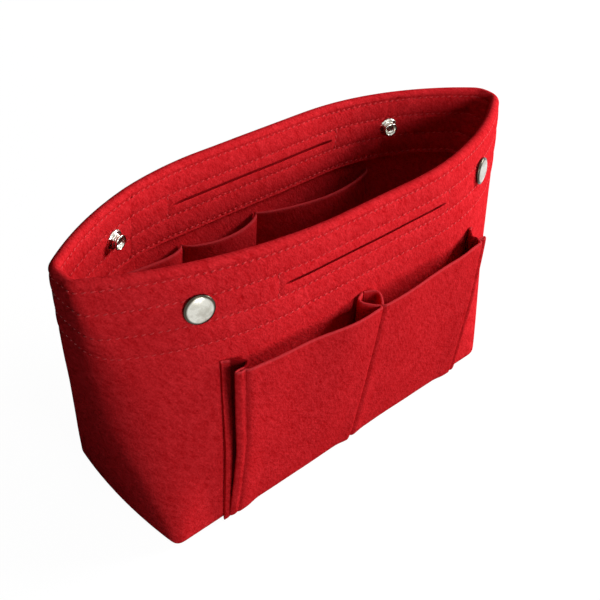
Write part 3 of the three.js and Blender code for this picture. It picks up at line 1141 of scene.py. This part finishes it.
def loop_bends(pocket, side, wall, star, foot):
    """The pocket's leaf of the middle loop, from the point where the faces meet back to the wall."""
    play = 0.0001
    outward = 0.0003
    inward = 0.0002
    close = pocket.felt / 2 + play
    joined = foot + JOINED_RISE * pocket.lift
    at_star = close + pocket.star * side
    turned = star - 0.0018
    front = wall + pocket.felt
    foot_from = front - 0.0005
    foot_turned = front - 0.0014
    bends = [
        Bend(at_star + outward, star - outward, close + outward, foot_from, joined, 0.95),
        Bend(at_star - inward, turned, close - inward, foot_turned, joined, 0.85),
    ]
    steps = 8
    fullest = 0.62
    for i in range(1, steps):
        share = 1 - i / steps
        bulge = pocket.loop * math.sin(math.pi * share**fullest)
        shift = mix(pocket.middle, pocket.star, share) * side
        foot_shift = mix(pocket.middle, 0, share) * side
        off = mix(wall, turned, share)
        bends.append(Bend(close + bulge + shift, off, close + foot_shift, wall, joined, 1))
    sewn_in = 0.0004
    sewn_off = 0.0006
    seam = close + pocket.middle * side - sewn_in
    bends.append(Bend(seam, sewn_off, seam, wall - sewn_in, joined, 0.8))
    return bends


def pocket_bends(pocket, hand, side):
    """The folds of one bellows pocket, from its outer flange over the face to the middle loop."""
    opened = pocket.open_left if hand == "left" else pocket.open_right
    stand = 0.0013 + pocket.felt / 2
    wall = POCKET_GAP + pocket.felt / 2
    face = stand + opened
    star = stand + pocket.open_middle
    foot = pocket.foot + PINCHES[hand].raised
    return [
        *fold_bends(pocket, hand, wall, face, foot),
        *face_bends(pocket, hand, side, wall, face, star, foot),
        *loop_bends(pocket, side, wall, star, foot),
    ]


def pocket_strip(scene, shape, hand, side):
    """Columns, stations, placing and painted shade of one pocket strip."""
    pocket = scene.insert_pockets
    per_span = 4
    fullness = 0.8
    wave_size = 0.024
    wave_height = 0.0003
    bends = pocket_bends(pocket, hand, side)
    mouth, low, cut = (
        smooth_path([Vector(pair) for pair in pairs], per_span) for pairs in (
            [(b.reach, b.off) for b in bends],
            [(b.reach_foot, b.off_foot) for b in bends],
            [(b.foot, b.thick) for b in bends],
        ))

    def middle(i, share):
        """The strip's middle surface at a column, from the foot (0) to the mouth (1)."""
        i = min(len(mouth) - 1, max(0, i))
        return low[i].lerp(mouth[i], clamp(share) ** fullness)

    def place(i, station):
        foot, thick = cut[i]
        ahead = middle(i + 1, station.z) - middle(i - 1, station.z)
        across = Vector((-ahead.y, ahead.x)).normalized()
        spot = middle(i, station.z) + across * (station.depth * thick * pocket.felt / 2)
        z = mix(foot, pocket.top, station.z)
        turn = shape.front(side * spot.x)
        point = shape.point(turn, z, -spot.y)
        return shape.point(turn, z, wave(point, wave_size, wave_height) - spot.y)

    def shade(i, station):
        """Paints shade on the leaf behind the pinched fold, where little light gets to."""
        return PAINTED_FOLD_SHADE if TUCKED_LEAF[0] * per_span <= i <= TUCKED_LEAF[1] * per_span else 0

    rounded = 0.006
    lip = 0.8
    heel = 0.55
    levels = [0.0, 0.018, 0.04, 0.075, *evenly(0.12, 0.94, 0.07), 0.975, 0.992]
    stations = [Station(level, 1, OUTER) for level in levels]
    stations += [Station(1, lip, EDGE, 1), Station(1 + rounded / 3, 0, EDGE, 1), Station(1, -lip, EDGE, 1)]
    stations += [Station(level, -1, INNER) for level in reversed(levels)]
    stations.append(Station(-rounded, -heel, EDGE))
    stations.append(Station(-1.6 * rounded, 0, EDGE))
    stations.append(Station(-rounded, heel, EDGE))
    return list(range(len(mouth))), stations, place, shade


class INSERT_OT_front_pockets(bpy.types.Operator):
    """Fold the two bellows pockets of the front wall from their felt strips"""

    bl_idname = "insert.front_pockets"
    bl_label = "Front Pockets"

    def execute(self, context):
        scene = context.scene
        pocket = scene.insert_pockets
        shape = BodyShape(scene.insert_body)
        wall = scene.insert_body.width / 2
        for hand, side in (("left", -1), ("right", 1)):
            columns, stations, place, shade = pocket_strip(scene, shape, hand, side)
            material = pocket_felt(scene.insert_finish)
            strip = felt_piece(hand + "_pocket_felt", columns, stations, place, material, shade)
            deepest = wall + pocket.open_middle + pocket.felt
            hand + "_pocket"
            -wall
            -deepest
            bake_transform(strip)
            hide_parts(hand + "_pocket_face", hand + "_outer_gusset", hand + "_middle_gusset")
            rise = pocket.top - pocket.foot
            cut = pocket.fold_left + 2 * pocket.open_middle + 3 * pocket.tab
        return {"FINISHED"}


class INSERT_OT_inner_pockets(bpy.types.Operator):
    """Hang the three pockets inside the back wall"""

    bl_idname = "insert.inner_pockets"
    bl_label = "Inner Pockets"

    def execute(self, context):
        scene = context.scene
        inner = scene.insert_inner
        body = scene.insert_body
        shape = BodyShape(body)
        gap = 0.0002
        rounded = 0.0009
        below_edge = 0.0006
        step = 0.007
        blunt = 0.6
        wave_size = 0.03
        wave_height = 0.0002
        heights = evenly(inner.foot, inner.top - below_edge, step)
        columns = [*evenly(0, 0.1, 0.02), *evenly(0.14, 0.7, 0.04), *evenly(0.72, 1, 0.014)]
        stations = [Station(z, 0, INNER) for z in heights]
        stations.append(Station(inner.top, 0.1, EDGE, 1))
        stations.append(Station(inner.top + rounded / 3, 0.5, EDGE, 1))
        stations.append(Station(inner.top, 0.9, EDGE, 1))
        stations += [Station(z, 1, OUTER) for z in reversed(heights)]
        stations.append(Station(inner.foot - rounded / 2, 0.5, EDGE))
        for name, left, right, bulge, lean in zip(
                ("small", "middle", "large"), inner.seams, inner.seams[1:], inner.bulges, inner.leans):

            def place(share, station):
                rise = clamp((station.z - inner.foot) / (inner.top - inner.foot))
                turn = shape.back(mix(left + gap, right - gap, share))
                arch = math.sin(math.pi * min(1, share**lean)) ** blunt if 0 < share < 1 else 0
                off = bulge * math.sin(rise * math.pi / 2) * arch
                depth = body.felt + INNER_GAP + off + station.depth * inner.felt
                point = shape.point(turn, station.z, depth)
                return shape.point(turn, station.z, depth + wave(point, wave_size, wave_height))

            material = pocket_felt(scene.insert_finish)
            hung = felt_piece(f"inner_pocket_{name}_felt", columns, stations, place, material)
            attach(hung, "back_wall")
            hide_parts(f"inner_pocket_{name}")
            slack = 0.4 * bulge
            flat = (right - left + slack, inner.top - inner.foot)
        return {"FINISHED"}


def turned_piece(name, profile, seat, material, closed=False, painted_shade_from=1):
    """A piece spun about the snap's axis: profile points are a radius and a height out of the felt.

    Beyond the radius of the last argument the metal is painted dark, as shade and a dark reflection.
    """
    bm = bmesh.new()
    rim = bm.verts.layers.float.new("rim")
    verts = [bm.verts.new((radius, 0, height)) for radius, height in profile]
    for vert in verts:
        vert[rim] = vert.co.x > painted_shade_from
    edges = [bm.edges.new(pair) for pair in zip(verts, verts[1:])]
    if closed:
        edges.append(bm.edges.new((verts[-1], verts[0])))
    full_turn = 2 * math.pi
    bmesh.ops.spin(
        bm, geom=verts + edges, cent=(0, 0, 0), axis=(0, 0, 1), angle=full_turn, steps=48, use_merge=True)
    bmesh.ops.remove_doubles(bm, verts=bm.verts, dist=WELD)
    bmesh.ops.transform(bm, matrix=seat, verts=bm.verts)
    return make_object(name, bm, material)


def snap_seat(scene, shape, turn, depth, outwards):
    """The matrix of a snap's seat on the felt, with its +Z straight out of that face."""
    z = scene.insert_body.height - scene.insert_snaps.drop
    _, up, outward, point = shape.seat(turn, z, 0)
    axis = outward if outwards else -outward
    side = up.cross(axis).normalized()
    axes = Matrix((side, axis.cross(side), axis)).transposed().to_4x4()
    return Matrix.Translation(point - outward * depth) @ axes


def cap_profile(snaps):
    """A low dome on a steep rolled rim."""
    rim = snaps.cap / 2
    shoulder = rim - 0.0009
    edge = 0.0019
    dome = snaps.cap_height - edge
    steps = 9
    profile = [
        (0, PRESSED), (rim - 0.0007, PRESSED), (rim - 0.0002, 0.0002), (rim, 0.0007), (rim, 0.0012),
        (rim - 0.0002, 0.0016),
    ]
    for i in range(steps + 1):
        radius = shoulder * (1 - i / steps)
        profile.append((radius, edge + dome * (1 - (radius / shoulder) ** 2)))
    return profile


def stud_profile(snaps):
    """A domed flange on the felt, a stepped neck and a thin rounded ring with a hollow."""
    flange = snaps.flange / 2
    head = snaps.stud / 2
    tall = snaps.stud_height
    domed_flange = [
        (0, PRESSED), (flange - 0.0003, PRESSED), (flange, 0.0002), (flange - 0.0003, 0.0007),
        (flange - 0.0008, 0.0011),
    ]
    neck = [
        (head + 0.0005, 0.0014), (head + 0.0001, 0.0013), (head - 0.0003, 0.0014),
        (head - 0.0006, 0.0018), (head - 0.0006, tall - 0.0020), (head - 0.0002, tall - 0.0015),
    ]
    ring = [
        (head, tall - 0.0009), (head - 0.0001, tall - 0.0004), (head - 0.0005, tall),
        (head - 0.0009, tall - 0.0003),
    ]
    hollow = [
        (head - 0.0011, tall - 0.0012), (head - 0.0016, tall - 0.0020), (head - 0.0026, tall - 0.0024),
        (0, tall - 0.0026),
    ]
    return domed_flange + neck + ring + hollow


def spring_level(snaps):
    """Height of the ring spring: half way up the socket's bore."""
    return (snaps.socket_height + SOCKET_FLOOR) / 2


def socket_profile(snaps):
    """A cup with a rolled rim, a bore for the stud and a groove that holds the ring spring."""
    rim = snaps.socket / 2
    tall = snaps.socket_height
    bore = snaps.stud / 2 + 0.0001
    groove = bore + snaps.wire + 0.0002
    level = spring_level(snaps)
    half = snaps.wire / 2 + 0.00025
    cup = [
        (0, PRESSED), (rim - 0.0003, PRESSED), (rim, 0.0003), (rim - 0.0001, 0.0012),
        (rim - 0.0006, 0.0018), (rim - 0.0007, tall - 0.0006), (rim - 0.0011, tall - 0.0001),
    ]
    hole = [
        (bore + 0.0004, tall), (bore, tall - 0.0004), (bore, level + half), (groove, level + half),
        (groove, level - half), (bore, level - half), (bore, SOCKET_FLOOR + 0.0002),
        (bore - 0.0004, SOCKET_FLOOR), (0, SOCKET_FLOOR),
    ]
    return cup + hole


def spring_profile(snaps):
    """The round section of the ring spring's wire, a little within the bore."""
    half = snaps.wire / 2
    proud = 0.00005
    radius = snaps.stud / 2 - proud + half
    level = spring_level(snaps)
    steps = 10
    angles = [2 * math.pi * i / steps for i in range(steps)]
    return [(radius + half * math.cos(a), level + half * math.sin(a)) for a in angles]


def scallop(stud, seat, snaps):
    """Cuts small scallops round the rim of the stud's flange."""
    bm = bmesh.new()
    bm.from_mesh(stud.data)
    back = seat.inverted()
    depth = 0.0004
    rim = snaps.flange / 2
    plain_to = 0.8 * rim
    for vert in bm.verts:
        local = back @ vert.co
        radius = math.hypot(local.x, local.y)
        if radius > plain_to:
            phase = math.atan2(local.y, local.x) * snaps.scallops
            bite = depth * (0.5 + 0.5 * math.cos(phase)) * (radius - plain_to) / (rim - plain_to)
            local.x -= local.x / radius * bite
            local.y -= local.y / radius * bite
            vert.co = seat @ local
    bm.to_mesh(stud.data)
    bm.free()


class INSERT_OT_snaps(bpy.types.Operator):
    """Turn the caps, sockets, ring springs and studs of the press snaps"""

    bl_idname = "insert.snaps"
    bl_label = "Press Snaps"

    def execute(self, context):
        scene = context.scene
        snaps = scene.insert_snaps
        body = scene.insert_body
        finish = scene.insert_finish
        shape = BodyShape(body)
        polish = 0.16
        drawn = 0.24
        # The caps' steep rims are painted dark over this width, as shade and a dark reflection
        painted_rim_width = 0.0010
        painted_shade_from = snaps.cap / 2 - painted_rim_width
        nickel = kept_material("polished nickel", nickel_material, finish, polish)
        wire = kept_material("polished wire", nickel_material, finish, drawn)
        for hand, side in (("left", -1), ("right", 1)):
            front = shape.front(side * snaps.reach)
            back = shape.back(side * snaps.reach)
            out_front = snap_seat(scene, shape, front, 0, True)
            in_front = snap_seat(scene, shape, front, body.layers, False)
            out_back = snap_seat(scene, shape, back, 0, True)
            in_back = snap_seat(scene, shape, back, body.layers, False)
            made = (
                ("front_cap", cap_profile(snaps), out_front, nickel, "front_wall", False),
                ("socket", socket_profile(snaps), in_front, nickel, "front_wall", False),
                ("ring_spring", spring_profile(snaps), in_front, wire, "front_wall", True),
                ("back_cap", cap_profile(snaps), out_back, nickel, "back_wall", False),
                ("stud", stud_profile(snaps), in_back, nickel, "back_wall", False),
            )
            for part, profile, seat, material, wall, closed in made:
                node = f"{hand}_snap_{part}"
                piece = turned_piece(f"{node}_metal", profile, seat, material, closed, painted_shade_from)
                if part == "stud":
                    scallop(piece, seat, snaps)
                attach(piece, wall)
                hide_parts(node)
                "spring_wire" if part == "ring_spring" else "nickel_snap"
        return {"FINISHED"}


def add_camera(stage):
    """The camera at the photograph's place, turn, tilt and roll."""
    data = bpy.data.cameras.new("camera")
    data.lens = stage.lens
    data.sensor_width = 36
    data.clip_start = 0.01
    turn = stage.azimuth
    tilt = stage.elevation
    back = Vector((math.sin(turn) * math.cos(tilt), -math.cos(turn) * math.cos(tilt), math.sin(tilt)))
    right = Vector((math.cos(turn), math.sin(turn), 0))
    upright = Matrix((right, back.cross(right), back)).transposed().to_4x4()
    rolled = Matrix.Rotation(stage.roll, 4, "Z")
    camera = bpy.data.objects.new("camera", data)
    camera.matrix_world = Matrix.Translation(stage.eye) @ upright @ rolled
    bpy.context.scene.collection.objects.link(camera)
    bpy.context.scene.camera = camera


# A square soft lamp: its place, its size and its power as a share of the key light's
Lamp = namedtuple("Lamp", "name place size share")
LAMPS = (
    Lamp("key", (0.993, -0.421, 0.596), 0.40, 1),
    Lamp("front", (-0.157, -1.117, 0.48), 0.40, 0.43),
    Lamp("top", (0.0, -0.25, 1.1), 0.6, 0.075),
    Lamp("back", (0.85, 0.85, 0.12), 0.5, 0.50),
)


def add_lamp(lamp, target, key_power):
    """Sets a lamp in its place, turned towards a point."""
    data = bpy.data.lights.new(lamp.name, "AREA")
    data.size = lamp.size
    data.energy = lamp.share * key_power
    light = bpy.data.objects.new(lamp.name, data)
    light.location = lamp.place
    light.rotation_euler = (target - Vector(lamp.place)).to_track_quat("-Z", "Y").to_euler()
    bpy.context.scene.collection.objects.link(light)


def view_rays(tree):
    """1 for what the camera sees directly, in polished metal or through a clear surface."""
    path = tree.nodes.new("ShaderNodeLightPath")
    direct, mirrored, through = (
        Paint(tree, path.outputs[f"Is {kind} Ray"]) for kind in ("Camera", "Glossy", "Transmission"))
    return direct + mirrored + through


def floor_material(stage):
    """Pale floor that the camera sees as white, with the object's soft shadow kept."""
    material = bpy.data.materials.new("floor")
    material.use_nodes = True
    tree = material.node_tree
    tree.nodes.clear()
    start = Paint(tree)
    white_share = 0.86
    white_level = 1.13
    matte = start.node("ShaderNodeBsdfDiffuse", {}, {"Color": opaque(stage.floor)})
    white = start.node("ShaderNodeEmission", {}, {"Color": (1, 1, 1, 1), "Strength": white_level})
    both = start.node("ShaderNodeMixShader", {}, {0: view_rays(tree) * white_share, 1: matte, 2: white})
    start.node("ShaderNodeOutputMaterial", {}, {"Surface": both})
    return material


def set_world(stage):
    """Faint even light from all sides; the camera and polished metal see white."""
    world = bpy.data.worlds.new("studio")
    world.use_nodes = True
    tree = world.node_tree
    tree.nodes.clear()
    start = Paint(tree)
    faint = start.node("ShaderNodeBackground", {}, {"Color": (1, 1, 1, 1), "Strength": stage.fill})
    white = start.node("ShaderNodeBackground", {}, {"Color": (1, 1, 1, 1), "Strength": 1})
    both = start.node("ShaderNodeMixShader", {}, {0: view_rays(tree), 1: faint, 2: white})
    start.node("ShaderNodeOutputWorld", {}, {"Surface": both})
    bpy.context.scene.world = world


class INSERT_OT_stage(bpy.types.Operator):
    """Set the floor, the studio light and the camera"""

    bl_idname = "insert.stage"
    bl_label = "Stage"

    def execute(self, context):
        stage = context.scene.insert_stage
        bm = bmesh.new()
        floor_half = 3
        below_base = 0.0002
        middle = Vector((0, 0, 0.07))
        bmesh.ops.create_grid(bm, x_segments=1, y_segments=1, size=floor_half)
        bmesh.ops.translate(bm, vec=(0, 0, -below_base), verts=bm.verts)
        make_object("floor", bm, floor_material(stage))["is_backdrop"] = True
        add_camera(stage)
        for lamp in LAMPS:
            add_lamp(lamp, middle, stage.key)
        set_world(stage)
        context.scene.view_settings.view_transform = "Standard"
        return {"FINISHED"}


SETTINGS = {
    "insert_body": BodySettings,
    "insert_stitches": StitchSettings,
    "insert_slit": SlitSettings,
    "insert_pockets": PocketSettings,
    "insert_inner": InnerSettings,
    "insert_snaps": SnapSettings,
    "insert_finish": FinishSettings,
    "insert_stage": StageSettings,
}
OPERATORS = (
    INSERT_OT_stage,
    INSERT_OT_walls,
    INSERT_OT_base,
    INSERT_OT_hem_stitching,
    INSERT_OT_front_pockets,
    INSERT_OT_inner_pockets,
    INSERT_OT_snaps,
)


class INSERT_PT_sidebar(bpy.types.Panel):
    """The insert's pieces and sizes"""

    bl_idname = "INSERT_PT_sidebar"
    bl_label = "Purse Organizer Insert"
    bl_space_type = "VIEW_3D"
    bl_region_type = "UI"
    bl_category = "Insert"

    def draw(self, context):
        for operator in OPERATORS:
            self.layout.operator(operator.bl_idname)
        for name in SETTINGS:
            group = getattr(context.scene, name)
            box = self.layout.box()
            for key in group.__annotations__:
                box.prop(group, key)


def register():
    for kind in (*SETTINGS.values(), *OPERATORS, INSERT_PT_sidebar):
        bpy.utils.register_class(kind)
    for name, kind in SETTINGS.items():
        setattr(bpy.types.Scene, name, PointerProperty(type=kind))


def unregister():
    for name in SETTINGS:
        delattr(bpy.types.Scene, name)
    for kind in (INSERT_PT_sidebar, *reversed(OPERATORS), *SETTINGS.values()):
        bpy.utils.unregister_class(kind)


def write_sizes():
    """Measures the dressed model's box beside the CAD model's box; the pair is not kept."""
    boxes = {"cad": CAD_BOX, "visual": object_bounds()}
    {name: [list(corner) for corner in box] for name, box in boxes.items()}


def main():
    register()
    bpy.ops.insert.stage()
    bpy.ops.insert.walls()
    bpy.ops.insert.base()
    bpy.ops.insert.hem_stitching()
    bpy.ops.insert.front_pockets()
    bpy.ops.insert.inner_pockets()
    bpy.ops.insert.snaps()
    write_sizes()


if __name__ == "__main__":
    main()
